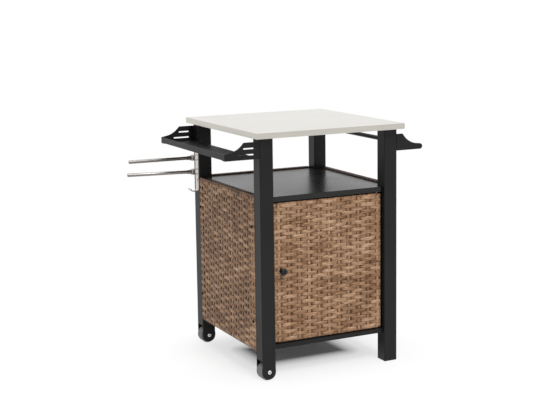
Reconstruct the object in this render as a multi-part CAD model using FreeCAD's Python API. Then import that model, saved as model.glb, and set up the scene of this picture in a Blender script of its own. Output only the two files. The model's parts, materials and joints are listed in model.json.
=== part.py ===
import FreeCAD, Part

import math
import os

# Grill cart with storage: a steel frame on two wheels and two feet, a stainless worktop,
# a woven cabinet with one door, a side tray, a towel handle and two swivel arms.
# Millimetres. X runs towards the handle side, Y towards the back, Z up, the floor is Z 0.

V = FreeCAD.Vector
X_AXIS = V(1, 0, 0)
Y_AXIS = V(0, 1, 0)
Z_AXIS = V(0, 0, 1)

# Whole cart
total_height = 850.0
leg_span_x = 530.0
leg_span_y = 566.0
fit_gap = 1.0
running_clearance = 0.05
turning_gap = 0.4
tolerance = 1e-6
nearly_whole = 0.999

# Worktop
worktop_length = 570.0
worktop_depth = 610.0
worktop_thickness = 20.0
skin_gauge = 1.0
skin_corner = 3.0

# Legs
leg_size = 50.0
leg_wall = 1.5
leg_corner = 3.0
top_plate_size = 82.0
top_plate_thickness = 3.0
top_plate_corner = 10.0
top_screw_inset = 14.0

# Feet of the plain legs
foot_height = 5.0
foot_plug_height = 22.0
foot_edge = 1.2

# Wheels in the forked legs
wheel_radius = 30.0
wheel_width = 36.0
wheel_edge = 5.0
hub_radius = 21.0
hub_recess = 3.0
hub_boss_radius = 9.0
axle_radius = 4.0
axle_head_radius = 7.0
axle_head_height = 3.8
axle_socket = 4.0
axle_socket_depth = 2.2
axle_nut_across = 13.0
axle_nut_height = 6.5
axle_thread_beyond_nut = 2.0
spacer_radius = 7.0
fork_height = 69.0

# Woven panels and door
weave_thickness = 4.0
panel_tube_width = 14.0
panel_tube_depth = 20.0
panel_tube_wall = 1.2
panel_edge_round = 6.0
panel_corner_round = 12.0
panel_proud = 3.5
panel_rise = 9.0
panel_drop = 24.0
lower_bolt_rise = 102.0
upper_bolt_drop = 112.0

# Cabinet top plate, floor and rails
shelf_height = 628.0
sheet_gauge = 1.5
shelf_lip = 18.0
shelf_flange = 12.0
front_recess = 15.0
shelf_end_gap = 4.5
rail_height = 15.0
rail_depth = 24.0
rail_wall = 1.5
rail_top = 118.0
floor_setback = 4.0
floor_flange = 10.0

# Door
door_gap_side = 5.0
door_gap_top = 3.0
door_gap_bottom = 2.5
door_edge_round = 8.0
pin_radius = 3.0
pin_depth_in_door = 17.0
bush_wall = 1.5
bush_flange = 5.5
bush_flange_thickness = 1.0
hinge_bracket_length = 24.0
hinge_bracket_width = 16.0
hinge_bracket_gauge = 2.0
knob_height = 372.0
knob_inset = 27.5
knob_radius = 12.5
knob_neck_radius = 5.0
knob_base_radius = 8.0
knob_reach = 24.0
knob_base_thickness = 3.0
knob_head_thickness = 13.0
knob_dome = 7.0
knob_under_round = 5.0
knob_screw_radius = 2.0
knob_plate_gauge = 3.0
knob_plate_height = 30.0
strike_length = 40.0
strike_height = 14.0
strike_gauge = 1.2
catch_gap = 0.3
catch_depth = 12.0
catch_flange = 14.0
catch_flange_thickness = 3.0
catch_inset = 60.0

# Side tray; a drop is measured down from the underside of the worktop
tray_reach = 127.0
tray_lip_drop = 45.0
tray_floor_drop = 67.5
bracket_gauge = 2.0
bracket_flange = 24.0
bracket_fold_round = 1.8
bracket_corner = 4.0
tray_bracket_drop = 10.0
tray_shoulder = 57.0
tray_curve_reach = 79.0
tray_curve_drop = 36.0
tray_curve_radius = 80.0
slot_height = 5.0
slot_inset = 19.0
upper_slot_drop = 30.5
upper_slot_end = 59.0
lower_slot_drop = 51.0
lower_slot_end = 79.0

# Towel handle
handle_bar_radius = 8.0
handle_bar_wall = 1.5
handle_bar_reach = 95.6
handle_bar_drop = 68.3
handle_tip_rim = 1.2
handle_bracket_drop = 19.0
handle_shoulder = 23.5
handle_curve_reach = 49.4
handle_curve_drop = 52.4
handle_curve_radius = 75.0

# Bracket bolts
bolt_radius = 3.0
bolt_head_radius = 5.5
bolt_head_height = 3.3
bolt_length = 14.0
bracket_bolt_drops = (54.0, 28.0)

# Swivel hanger on the back left leg
hanger_width = 27.0
hanger_gauge = 2.5
hanger_drop = 88.0
hanger_length = 162.0
hanger_hook_reach = 33.0
hanger_hook_rise = 11.0
hanger_bend = 9.0
hanger_offset = 6.0
arm_drops = (177.5, 125.5)
arm_angles = (-10.0, -3.0)
arm_radius = 6.35
arm_reach = 243.0
arm_cap_thickness = 3.0
pivot_reach = 16.0
pivot_pin_radius = 2.5
pivot_head_radius = 4.5
pivot_head_height = 1.6
pivot_eye_radius = 8.0
collar_radius = 7.5
collar_start = 6.0
collar_length = 15.0
arm_in_collar = 9.0
arm_spigot_radius = 5.0
arm_neck = 1.0
tab_width = 18.0
tab_gauge = 2.0
hanger_screw_drops = (210.0, 103.0)

# Small screws and tabs
head_rounding = 0.6
nut_chamfer = 30.0
small_screw_radius = 2.5
small_head_radius = 4.8
small_head_height = 2.6
small_screw_length = 12.0
small_nut_across = 8.0
small_nut_height = 4.0
tab_height = 24.0
tab_thickness = 3.0
tab_reach = 20.0

# Places worked out from the sizes above
leg_outer_x = leg_span_x / 2
leg_outer_y = leg_span_y / 2
leg_inner_x = leg_outer_x - leg_size
leg_inner_y = leg_outer_y - leg_size
leg_centre_x = leg_outer_x - leg_size / 2
leg_centre_y = leg_outer_y - leg_size / 2
worktop_bottom = total_height - worktop_thickness
leg_top = worktop_bottom - top_plate_thickness
tray_lip_top = worktop_bottom - tray_lip_drop
tray_bottom = worktop_bottom - tray_floor_drop
tray_bracket_top = worktop_bottom - tray_bracket_drop
handle_bar_height = worktop_bottom - handle_bar_drop
handle_bracket_top = worktop_bottom - handle_bracket_drop
bracket_bolt_heights = [worktop_bottom - drop for drop in bracket_bolt_drops]
hanger_top = worktop_bottom - hanger_drop
hanger_bottom = hanger_top - hanger_length
hanger_screw_heights = [worktop_bottom - drop for drop in hanger_screw_drops]
arm_heights = [worktop_bottom - drop for drop in arm_drops]
panel_top = shelf_height + panel_rise
panel_bottom = rail_top - panel_drop
panel_bolt_heights = (panel_bottom + lower_bolt_rise, panel_top - upper_bolt_drop)
panel_thickness = 2 * weave_thickness + panel_tube_depth
panel_inner_x = leg_outer_x + panel_proud - panel_thickness
panel_inner_y = leg_outer_y + panel_proud - panel_thickness
front_face_y = -leg_outer_y + front_recess
door_inner_y = front_face_y + panel_thickness
door_half_width = leg_inner_x - door_gap_side
door_top = shelf_height - shelf_lip - door_gap_top
door_bottom = rail_top + sheet_gauge + door_gap_bottom
tube_centre_inset = weave_thickness + panel_tube_width / 2
hinge_x = door_half_width - tube_centre_inset
hinge_y = front_face_y + panel_thickness / 2
arm_pivot_x = -leg_outer_x - hanger_gauge - pivot_reach
arm_pivot_y = leg_centre_y - hanger_offset
handle_tip_radius = handle_bar_radius + handle_tip_rim
left_reach = leg_outer_x + hanger_gauge + pivot_reach + arm_reach * math.cos(math.radians(arm_angles[1]))
right_reach = leg_outer_x + handle_bar_reach + handle_tip_radius
centre_shift = (left_reach - right_reach) / 2


def block(x, y, z):
    """Box between two limits along each axis."""
    return Part.makeBox(x[1] - x[0], y[1] - y[0], z[1] - z[0], V(x[0], y[0], z[0]))


def rod(start, axis, radius, length):
    return Part.makeCylinder(radius, length, start, axis)


def edges_along(shape, axis):
    """Straight edges of a shape that run along an axis."""
    straight = [e for e in shape.Edges if isinstance(e.Curve, Part.Line)]
    return [e for e in straight if abs(e.tangentAt(e.FirstParameter).dot(axis)) > nearly_whole]


def moved(shape, x=0.0, y=0.0, z=0.0, turn=0.0):
    """Copy of a shape turned about the vertical axis and then moved."""
    copy = shape.copy()
    copy.rotate(V(0, 0, 0), Z_AXIS, turn)
    copy.translate(V(x, y, z))
    return copy


def tangent_points(before, corner, after, radius):
    """Start, middle and end of the arc that rounds a corner."""
    to_before = (before - corner).normalize()
    to_after = (after - corner).normalize()
    half_angle = to_before.getAngle(to_after) / 2
    setback = radius / math.tan(half_angle)
    bisector = (to_before + to_after).normalize()
    centre = corner + bisector * (radius / math.sin(half_angle))
    return corner + to_before * setback, centre - bisector * radius, corner + to_after * setback


def rounded_outline(corners):
    """Closed wire in the XZ plane through (x, z, corner radius) points."""
    points = [V(x, 0, z) for x, z, _ in corners]
    edges = []
    starts = []
    ends = []
    for i, (_, _, radius) in enumerate(corners):
        if radius == 0:
            starts.append(points[i])
            ends.append(points[i])
            continue
        after = points[(i + 1) % len(points)]
        first, middle, last = tangent_points(points[i - 1], points[i], after, radius)
        starts.append(first)
        ends.append(last)
        edges.append(Part.Arc(first, middle, last).toShape())
    for i in range(len(points)):
        line_end = starts[(i + 1) % len(points)]
        if ends[i].distanceToPoint(line_end) > tolerance:
            edges.append(Part.makeLine(ends[i], line_end))
    return Part.Wire(Part.sortEdges(edges)[0])


def plate(corners, thickness):
    """Plate with a rounded outline in the XZ plane, thick along +Y from Y 0."""
    return Part.Face(rounded_outline(corners)).extrude(V(0, thickness, 0))


def bent_strip(corners, gauge, width):
    """Sheet strip bent along a path of (x, z, inner bend radius) points, gauge on its left."""
    path = [V(x, 0, z) for x, z, _ in corners]
    left = []
    for i in range(len(path)):
        back = (path[i] - path[i - 1]).normalize() if i > 0 else (path[1] - path[0]).normalize()
        ahead = (path[i + 1] - path[i]).normalize() if i < len(path) - 1 else back
        normal_back = V(-back.z, 0, back.x)
        normal_ahead = V(-ahead.z, 0, ahead.x)
        mitre = normal_back + normal_ahead
        left.append(path[i] + mitre * (gauge / (1 + normal_back.dot(normal_ahead))))
    outline = []
    for i, (x, z, bend) in enumerate(corners):
        outline.append((x, z, bend_radius(path, i, bend, gauge, False)))
    for i in reversed(range(len(corners))):
        bend = corners[i][2]
        outline.append((left[i].x, left[i].z, bend_radius(path, i, bend, gauge, True)))
    return plate(outline, width)


def bend_radius(path, i, bend, gauge, on_left):
    """Radius of one side of a bend: the inner side keeps the bend, the outer adds the gauge."""
    if i == 0 or i == len(path) - 1:
        return 0
    turn = (path[i] - path[i - 1]).cross(path[i + 1] - path[i]).y
    turns_left = turn < 0
    return bend if turns_left == on_left else bend + gauge


def pan_head(radius, height):
    """Low screw head standing up from Z 0, with a rounded rim."""
    head = rod(V(0, 0, 0), Z_AXIS, radius, height)
    rim = [e for e in head.Edges if e.BoundBox.ZMin > height - tolerance]
    return head.makeFillet(height * head_rounding, rim)


def laid_along(shape, axis):
    """Copy of a shape built along +Z, turned so that it runs along another axis."""
    copy = shape.copy()
    turned = FreeCAD.Placement(V(0, 0, 0), FreeCAD.Rotation(Z_AXIS, axis))
    copy.Placement = turned.multiply(copy.Placement)
    return copy


def screw(place, axis, head_radius, head_height, shank_radius, length):
    """Screw whose head sits on a face at place and looks along axis."""
    head = pan_head(head_radius, head_height)
    shank = rod(V(0, 0, -length), Z_AXIS, shank_radius, length)
    whole = laid_along(head.fuse(shank).removeSplitter(), axis)
    whole.translate(place)
    return whole


def small_screw(place, axis, length=small_screw_length):
    return screw(place, axis, small_head_radius, small_head_height, small_screw_radius, length)


def hexagon(across_flats):
    step = math.pi / 3
    corner = across_flats / 2 / math.cos(step / 2)
    points = [V(corner * math.cos(step * i), corner * math.sin(step * i), 0) for i in range(6)]
    return Part.makePolygon(points + points[:1])


def hex_nut(across_flats, height, bore):
    """Hexagonal nut standing up from Z 0, its upper corners chamfered."""
    body = Part.Face(hexagon(across_flats)).extrude(V(0, 0, height))
    crown = across_flats / 2
    skirt = crown + height / math.tan(math.radians(nut_chamfer))
    body = body.common(Part.makeCone(skirt, crown, height, V(0, 0, 0), Z_AXIS))
    return body.cut(rod(V(0, 0, 0), Z_AXIS, bore, height))


def square_tube(bottom, top):
    """Leg tube about the vertical axis."""
    half = leg_size / 2
    inner = half - leg_wall
    outside = block((-half, half), (-half, half), (bottom, top))
    outside = outside.makeFillet(leg_corner, edges_along(outside, Z_AXIS))
    inside = block((-inner, inner), (-inner, inner), (bottom, top))
    inside = inside.makeFillet(leg_corner - leg_wall, edges_along(inside, Z_AXIS))
    return outside.cut(inside)


def leg_place(side_x, side_y):
    return side_x * leg_centre_x, side_y * leg_centre_y


def leg_bolt_holes(leg, side_x, side_y):
    """Holes in a leg for every bolt that enters it."""
    reach = V(-side_x, 0, 0)
    face_x = side_x * leg_outer_x
    holes = []
    for height in bracket_bolt_heights:
        holes.append(rod(V(face_x, bracket_bolt_y(side_y), height), reach, bolt_radius, leg_size / 2))
    if (side_x, side_y) == (-1, 1):
        for height in hanger_screw_heights:
            holes.append(rod(V(face_x, arm_pivot_y, height), reach, small_screw_radius, leg_size / 2))
    return leg.cut(Part.makeCompound(holes))


def plain_leg(side_y):
    x, y = leg_place(1, side_y)
    return leg_bolt_holes(moved(square_tube(foot_height, leg_top), x, y), 1, side_y)


def forked_leg(side_y):
    """Leg whose front and back walls run on as rounded ears that hold a wheel."""
    half = leg_size / 2
    inner = half - leg_wall
    tube = square_tube(0, leg_top)
    tube = tube.cut(block((-leg_size, leg_size), (-inner, inner), (0, fork_height)))
    below_axle = block((-half, half), (-half, half), (0, wheel_radius))
    ear_round = rod(V(0, -half, wheel_radius), Y_AXIS, half, leg_size)
    tube = tube.cut(below_axle.cut(ear_round))
    tube = tube.cut(rod(V(0, -half, wheel_radius), Y_AXIS, axle_radius, leg_size))
    x, y = leg_place(-1, side_y)
    return leg_bolt_holes(moved(tube, x, y), -1, side_y)


def leg_top_plates():
    """Welded plates that carry the worktop, one flush with the outer corner of each leg."""
    plates = []
    for side_x in (-1, 1):
        for side_y in (-1, 1):
            near = sorted((side_x * leg_outer_x, side_x * (leg_outer_x - top_plate_size)))
            far = sorted((side_y * leg_outer_y, side_y * (leg_outer_y - top_plate_size)))
            one = block(near, far, (leg_top, worktop_bottom))
            one = one.makeFillet(leg_corner, edges_along(one, Z_AXIS))
            for x, y in top_screw_places(side_x, side_y):
                one = one.cut(rod(V(x, y, leg_top), Z_AXIS, small_screw_radius, top_plate_thickness))
            plates.append(one)
    return Part.makeCompound(plates)


def top_screw_places(side_x, side_y):
    """Screw positions on the two free edges of a top plate."""
    deep_x = side_x * (leg_outer_x - top_plate_size + top_screw_inset)
    deep_y = side_y * (leg_outer_y - top_plate_size + top_screw_inset)
    return ((deep_x, deep_y), (deep_x, side_y * (leg_outer_y - leg_size / 2)),
            (side_x * (leg_outer_x - leg_size / 2), deep_y))


def foot_cap(side_y):
    """Plastic cap with a flange under the tube and a plug inside it."""
    half = leg_size / 2
    plug = half - leg_wall - running_clearance
    flange = block((-half, half), (-half, half), (0, foot_height))
    flange = flange.makeFillet(leg_corner, edges_along(flange, Z_AXIS))
    rim = [e for e in flange.Edges if e.BoundBox.ZMax < tolerance]
    flange = flange.makeChamfer(foot_edge, rim)
    core = block((-plug, plug), (-plug, plug), (foot_height, foot_height + foot_plug_height))
    core = core.makeFillet(leg_corner - leg_wall, edges_along(core, Z_AXIS))
    wall = plug - 2 * leg_wall
    hollow = block((-wall, wall), (-wall, wall), (foot_height, foot_height + foot_plug_height))
    x, y = leg_place(1, side_y)
    return moved(flange.fuse(core.cut(hollow)).removeSplitter(), x, y)


def wheel_tyre(side_y):
    """Round-shouldered tread ring."""
    half = wheel_width / 2
    ring = rod(V(0, -half, wheel_radius), Y_AXIS, wheel_radius, wheel_width)
    ring = ring.makeFillet(wheel_edge, [e for e in ring.Edges if isinstance(e.Curve, Part.Circle)])
    ring = ring.cut(rod(V(0, -half, wheel_radius), Y_AXIS, hub_radius, wheel_width))
    x, y = leg_place(-1, side_y)
    return moved(ring, x, y)


def wheel_hub(side_y):
    """Hub with a dished web on each side and a boss round the axle."""
    half = wheel_width / 2
    hub = rod(V(0, -half, wheel_radius), Y_AXIS, hub_radius, wheel_width)
    web_outer = hub_radius - hub_recess
    for start in (-half, half - hub_recess):
        dish = rod(V(0, start, wheel_radius), Y_AXIS, web_outer, hub_recess)
        dish = dish.cut(rod(V(0, start, wheel_radius), Y_AXIS, hub_boss_radius, hub_recess))
        hub = hub.cut(dish)
    hub = hub.cut(rod(V(0, -half, wheel_radius), Y_AXIS, axle_radius + running_clearance, wheel_width))
    x, y = leg_place(-1, side_y)
    return moved(hub, x, y)


def axle_bolt(side_y):
    """Button-head bolt through both ears, head to the front."""
    half = leg_size / 2
    length = leg_size + axle_nut_height + axle_thread_beyond_nut
    head = pan_head(axle_head_radius, axle_head_height)
    socket = Part.Face(hexagon(axle_socket)).extrude(V(0, 0, axle_socket_depth))
    socket.translate(V(0, 0, axle_head_height - axle_socket_depth))
    shank = rod(V(0, 0, -length), Z_AXIS, axle_radius, length)
    bolt = laid_along(head.cut(socket).fuse(shank), V(0, -1, 0))
    x, y = leg_place(-1, side_y)
    return moved(bolt, x, y - half, wheel_radius)


def axle_nuts():
    nuts = []
    for side_y in (-1, 1):
        x, y = leg_place(-1, side_y)
        nut = laid_along(hex_nut(axle_nut_across, axle_nut_height, axle_radius), Y_AXIS)
        nuts.append(moved(nut, x, y + leg_size / 2, wheel_radius))
    return Part.makeCompound(nuts)


def wheel_spacers():
    """Bushes on the axle that keep each wheel clear of the ears."""
    length = leg_size / 2 - leg_wall - wheel_width / 2 - turning_gap
    bushes = []
    for side_y in (-1, 1):
        x, y = leg_place(-1, side_y)
        for side in (-1, 1):
            face = side * (leg_size / 2 - leg_wall)
            bush = rod(V(0, face, 0), V(0, -side, 0), spacer_radius, length)
            bush = bush.cut(rod(V(0, face, 0), V(0, -side, 0), axle_radius, length))
            bushes.append(moved(bush, x, y, wheel_radius))
    return Part.makeCompound(bushes)


def worktop_skin():
    """Stainless pan folded down over the board on all four sides."""
    x = worktop_length / 2
    y = worktop_depth / 2
    pan = block((-x, x), (-y, y), (worktop_bottom, total_height))
    pan = pan.makeFillet(skin_corner, edges_along(pan, Z_AXIS))
    top_rim = [e for e in pan.Edges if e.BoundBox.ZMin > total_height - tolerance]
    pan = pan.makeFillet(skin_gauge, top_rim)
    return pan.cut(worktop_board())


def worktop_board():
    x = worktop_length / 2 - skin_gauge
    y = worktop_depth / 2 - skin_gauge
    board = block((-x, x), (-y, y), (worktop_bottom, total_height - skin_gauge))
    return board.makeFillet(skin_corner - skin_gauge, edges_along(board, Z_AXIS))


def worktop_core():
    board = worktop_board()
    holes = []
    for side_x in (-1, 1):
        for side_y in (-1, 1):
            for x, y in top_screw_places(side_x, side_y):
                depth = small_screw_length - top_plate_thickness
                holes.append(rod(V(x, y, worktop_bottom), Z_AXIS, small_screw_radius, depth))
    return board.cut(Part.makeCompound(holes))


def worktop_screws():
    screws = []
    for side_x in (-1, 1):
        for side_y in (-1, 1):
            for x, y in top_screw_places(side_x, side_y):
                screws.append(small_screw(V(x, y, leg_top), V(0, 0, -1)))
    return Part.makeCompound(screws)


def woven_panel(width, bottom, top, edge_round=panel_edge_round):
    """Tube frame and the weave wrapped round it, outer face at Y 0 looking towards -Y."""
    x = width / 2
    slab = block((-x, x), (0, panel_thickness), (bottom, top))
    slab = slab.makeFillet(panel_corner_round, edges_along(slab, Y_AXIS))
    rims = [e for e in slab.Edges if e.BoundBox.YLength < tolerance]
    slab = slab.makeFillet(edge_round, rims)
    tube_x = x - weave_thickness
    tube_y = (weave_thickness, weave_thickness + panel_tube_depth)
    tube_z = (bottom + weave_thickness, top - weave_thickness)
    frame = tube_ring(tube_x, tube_y, tube_z, 0)
    frame = frame.cut(tube_ring(tube_x, tube_y, tube_z, panel_tube_wall))
    open_x = tube_x - panel_tube_width
    open_z = (tube_z[0] + panel_tube_width, tube_z[1] - panel_tube_width)
    weave = slab.cut(block((-tube_x, tube_x), tube_y, tube_z))
    weave = weave.cut(block((-open_x, open_x), (tube_y[0], panel_thickness), open_z))
    return frame, weave


def tube_ring(half_width, depth, height, inset):
    """Rectangular ring of tube, or of its hollow when inset by the wall."""
    outer = block((-half_width + inset, half_width - inset), (depth[0] + inset, depth[1] - inset),
                  (height[0] + inset, height[1] - inset))
    window_x = half_width - panel_tube_width + inset
    window_z = (height[0] + panel_tube_width - inset, height[1] - panel_tube_width + inset)
    return outer.cut(block((-window_x, window_x), depth, window_z))


def panel_bolt_offset(width):
    return width / 2 - tube_centre_inset


def bolted_panel(width, turn, x, y):
    """Fixed panel with bolt holes through the frame and the weave."""
    frame, weave = woven_panel(width, panel_bottom, panel_top)
    holes = []
    for side in (-1, 1):
        for height in panel_bolt_heights:
            start = V(side * panel_bolt_offset(width), 0, height)
            holes.append(rod(start, Y_AXIS, small_screw_radius, panel_thickness))
    holes = Part.makeCompound(holes)
    return moved(frame.cut(holes), x, y, 0, turn), moved(weave.cut(holes), x, y, 0, turn)


side_panel_width = 2 * leg_inner_y - 2 * fit_gap
back_panel_width = 2 * leg_inner_x - 2 * fit_gap
panel_places = {
    "side_panel_left": (side_panel_width, -90, -leg_outer_x - panel_proud, 0),
    "side_panel_right": (side_panel_width, 90, leg_outer_x + panel_proud, 0),
    "back_panel": (back_panel_width, 180, 0, leg_outer_y + panel_proud),
}


def panel_fixings():
    """Tabs welded to the legs behind the panels, and the bolts with nuts through them."""
    tabs = []
    bolts = []
    for width, turn, x, y in panel_places.values():
        for side in (-1, 1):
            for height in panel_bolt_heights:
                tabs.append(moved(panel_tab(width, side, height), x, y, 0, turn))
                bolts.append(moved(panel_bolt(width, side, height), x, y, 0, turn))
    return Part.makeCompound(tabs), Part.makeCompound(bolts)


def panel_tab(width, side, height):
    edge = side * (width / 2 + fit_gap)
    across = sorted((edge, edge - side * tab_reach))
    tab = block(across, (panel_thickness, panel_thickness + tab_thickness),
                (height - tab_height / 2, height + tab_height / 2))
    start = V(side * panel_bolt_offset(width), panel_thickness, height)
    return tab.cut(rod(start, Y_AXIS, small_screw_radius, tab_thickness))


def panel_bolt(width, side, height):
    """Bolt from the panel's outer face through its tab, with the nut behind."""
    x = side * panel_bolt_offset(width)
    tab_back = panel_thickness + tab_thickness
    bolt = small_screw(V(x, 0, height), V(0, -1, 0), tab_back + small_nut_height)
    nut = laid_along(hex_nut(small_nut_across, small_nut_height, small_screw_radius), Y_AXIS)
    nut.translate(V(x, tab_back, height))
    return bolt.fuse(nut).removeSplitter()


def cabinet_plate(top, front_y, half_width):
    """Flat plate between the panels, notched round the four legs."""
    wide = panel_inner_x
    deep = leg_inner_y - fit_gap
    back = panel_inner_y
    low = top - sheet_gauge
    middle = block((-wide, wide), (-deep, deep), (low, top))
    front = block((-half_width, half_width), (front_y, -deep), (low, top))
    rear = block((-half_width, half_width), (deep, back), (low, top))
    return middle.fuse([front, rear]).removeSplitter()


def side_flanges(top, depth):
    """Edges of a cabinet plate folded down beside the side panels."""
    wide = panel_inner_x
    deep = leg_inner_y - tab_reach
    flanges = []
    for side in (-1, 1):
        span = sorted((side * wide, side * (wide - sheet_gauge)))
        flanges.append(block(span, (-deep, deep), (top - depth, top)))
    return flanges


def shelf_plate():
    """Cabinet top with a deep front lip and shallow side flanges."""
    half = leg_inner_x - shelf_end_gap
    top = cabinet_plate(shelf_height, front_face_y, half)
    lip = block((-half, half), (front_face_y, front_face_y + sheet_gauge),
                (shelf_height - shelf_lip, shelf_height))
    shelf = top.fuse([lip] + side_flanges(shelf_height, shelf_flange)).removeSplitter()
    bend = [e for e in edges_along(shelf, X_AXIS)
            if e.BoundBox.ZMin > shelf_height - tolerance and e.BoundBox.YMax < front_face_y + tolerance]
    shelf = shelf.makeFillet(sheet_gauge, bend)
    return shelf.cut(Part.makeCompound(shelf_screw_shapes(True)))


def shelf_screw_shapes(as_holes):
    """Screws through the side flanges into the panel frames, or the holes for them."""
    shapes = []
    height = shelf_height - shelf_flange / 2 - sheet_gauge / 2
    face = panel_inner_x - sheet_gauge
    for side in (-1, 1):
        for y in (-leg_inner_y / 2, leg_inner_y / 2):
            place = V(side * face, y, height)
            if as_holes:
                shapes.append(rod(place, V(side, 0, 0), small_screw_radius, sheet_gauge))
            else:
                shapes.append(small_screw(place, V(-side, 0, 0), sheet_gauge))
    return shapes


def floor_plate():
    """Cabinet floor resting on the two rails, pierced for the flange of the lower hinge bush."""
    half = leg_inner_x - fit_gap
    top = rail_top + sheet_gauge
    floor = cabinet_plate(top, front_face_y + floor_setback, half)
    floor = floor.fuse(side_flanges(top, floor_flange)).removeSplitter()
    return floor.cut(rod(V(hinge_x, hinge_y, rail_top), Z_AXIS, bush_flange + running_clearance, sheet_gauge))


def rail(y_front):
    """Square-ended tube between two legs."""
    across = (-leg_inner_x, leg_inner_x)
    outer = block(across, (y_front, y_front + rail_depth), (rail_top - rail_height, rail_top))
    inner = block(across, (y_front + rail_wall, y_front + rail_depth - rail_wall),
                  (rail_top - rail_height + rail_wall, rail_top - rail_wall))
    return outer.cut(inner)


def front_rail():
    hole = rod(V(hinge_x, hinge_y, rail_top - rail_wall), Z_AXIS, pin_radius + bush_wall, rail_wall)
    return rail(front_face_y).cut(hole)


def back_rail():
    return rail(panel_inner_y - fit_gap - rail_depth)


def door_pieces():
    """Door frame and weave, with holes for the hinge pins and the knob screw."""
    frame, weave = woven_panel(2 * door_half_width, door_bottom, door_top, door_edge_round)
    frame = moved(frame, 0, front_face_y)
    weave = moved(weave, 0, front_face_y)
    pins = Part.makeCompound([rod(V(hinge_x, hinge_y, start), Z_AXIS, pin_radius, pin_depth_in_door)
                              for start in (door_bottom, door_top - pin_depth_in_door)])
    screw_hole = rod(V(knob_x(), front_face_y, knob_height), Y_AXIS, knob_screw_radius, panel_thickness)
    frame = frame.fuse(knob_plate()).removeSplitter()
    return frame.cut(pins).cut(screw_hole), weave.cut(pins).cut(screw_hole)


def knob_x():
    return -door_half_width + knob_inset


def knob_plate():
    """Plate welded to the door tube behind the weave, which the knob screws to."""
    tube_edge = -door_half_width + weave_thickness + panel_tube_width
    y = front_face_y + weave_thickness
    return block((tube_edge, knob_x() + knob_base_radius), (y, y + knob_plate_gauge),
                 (knob_height - knob_plate_height / 2, knob_height + knob_plate_height / 2))


def hinge_pins():
    """Two steel pins fixed in the door frame and running in the bushes."""
    lower_end = rail_top - rail_wall
    lower_start = door_bottom + pin_depth_in_door
    lower = rod(V(hinge_x, hinge_y, lower_end), Z_AXIS, pin_radius, lower_start - lower_end)
    upper_end = hinge_bracket_bottom() + hinge_bracket_gauge
    upper_start = door_top - pin_depth_in_door
    upper = rod(V(hinge_x, hinge_y, upper_start), Z_AXIS, pin_radius, upper_end - upper_start)
    return Part.makeCompound([lower, upper])


def hinge_bracket_bottom():
    return door_top + turning_gap + bush_flange_thickness


def hinge_bracket():
    """Angle bolted to the right front leg, with the upper bush in its arm."""
    low = hinge_bracket_bottom()
    y = (hinge_y - hinge_bracket_width / 2, hinge_y + hinge_bracket_width / 2)
    arm = block((leg_inner_x - hinge_bracket_length, leg_inner_x), y, (low, low + hinge_bracket_gauge))
    free_end = leg_inner_x - hinge_bracket_length + tolerance
    arm = arm.makeFillet(bracket_corner, [e for e in edges_along(arm, Z_AXIS) if e.BoundBox.XMax < free_end])
    upright = block((leg_inner_x - hinge_bracket_gauge, leg_inner_x), y, (low, shelf_height - sheet_gauge))
    bracket = arm.fuse(upright).removeSplitter()
    return bracket.cut(rod(V(hinge_x, hinge_y, low), Z_AXIS, pin_radius + bush_wall, hinge_bracket_gauge))


def hinge_bushes():
    """Flanged nylon bushes, flange towards the door."""
    outer = pin_radius + bush_wall
    bore = pin_radius + running_clearance
    lower = rod(V(0, 0, rail_top - rail_wall), Z_AXIS, outer, rail_wall)
    lower = lower.fuse(rod(V(0, 0, rail_top), Z_AXIS, bush_flange, bush_flange_thickness))
    low = hinge_bracket_bottom()
    upper = rod(V(0, 0, low), Z_AXIS, outer, hinge_bracket_gauge)
    flange_bottom = low - bush_flange_thickness
    upper = upper.fuse(rod(V(0, 0, flange_bottom), Z_AXIS, bush_flange, bush_flange_thickness))
    bores = rod(V(0, 0, 0), Z_AXIS, bore, total_height)
    return Part.makeCompound([moved(bush.cut(bores), hinge_x, hinge_y) for bush in (lower, upper)])


def door_knob():
    """Turned knob: a foot, a narrow neck and a domed head."""
    head_start = knob_reach - knob_head_thickness
    head = rod(V(0, 0, head_start), Z_AXIS, knob_radius, knob_head_thickness)
    top_rim = [e for e in head.Edges if e.BoundBox.ZMin > knob_reach - tolerance]
    head = head.makeFillet(knob_dome, top_rim)
    lower_rim = [e for e in head.Edges if e.BoundBox.ZMax < head_start + tolerance]
    head = head.makeFillet(knob_under_round, lower_rim)
    neck = rod(V(0, 0, 0), Z_AXIS, knob_neck_radius, head_start)
    foot = rod(V(0, 0, 0), Z_AXIS, knob_base_radius, knob_base_thickness)
    knob = laid_along(head.fuse([neck, foot]).removeSplitter(), V(0, -1, 0))
    return moved(knob, knob_x(), front_face_y, knob_height)


def knob_screw():
    """Screw from behind the weave into the knob foot."""
    length = weave_thickness + knob_plate_gauge
    place = V(knob_x(), front_face_y + length, knob_height)
    return screw(place, Y_AXIS, small_head_radius, small_head_height, knob_screw_radius, length)


def catch_height():
    return door_top - weave_thickness - panel_tube_width / 2


def catch_x():
    return -door_half_width + catch_inset


def strike_plate():
    """Steel plate on the back of the door for the magnet."""
    x = (catch_x() - strike_length / 2, catch_x() + strike_length / 2)
    z = (catch_height() - strike_height / 2, catch_height() + strike_height / 2)
    return block(x, (door_inner_y, door_inner_y + strike_gauge), z)


def magnet_catch():
    """Magnet block hung from the cabinet top by its own flange."""
    face = door_inner_y + strike_gauge + catch_gap
    half = strike_length / 2
    x = (catch_x() - half, catch_x() + half)
    low = catch_height() - strike_height / 2
    underside = shelf_height - sheet_gauge
    back = face + catch_depth
    body = block(x, (face, back), (low, underside))
    flange = block(x, (face, back + catch_flange), (underside - catch_flange_thickness, underside))
    return body.fuse(flange).removeSplitter()


def bracket_bolt_y(side_y):
    return side_y * (leg_outer_y - bracket_flange / 2 - bracket_gauge / 2)


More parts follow.
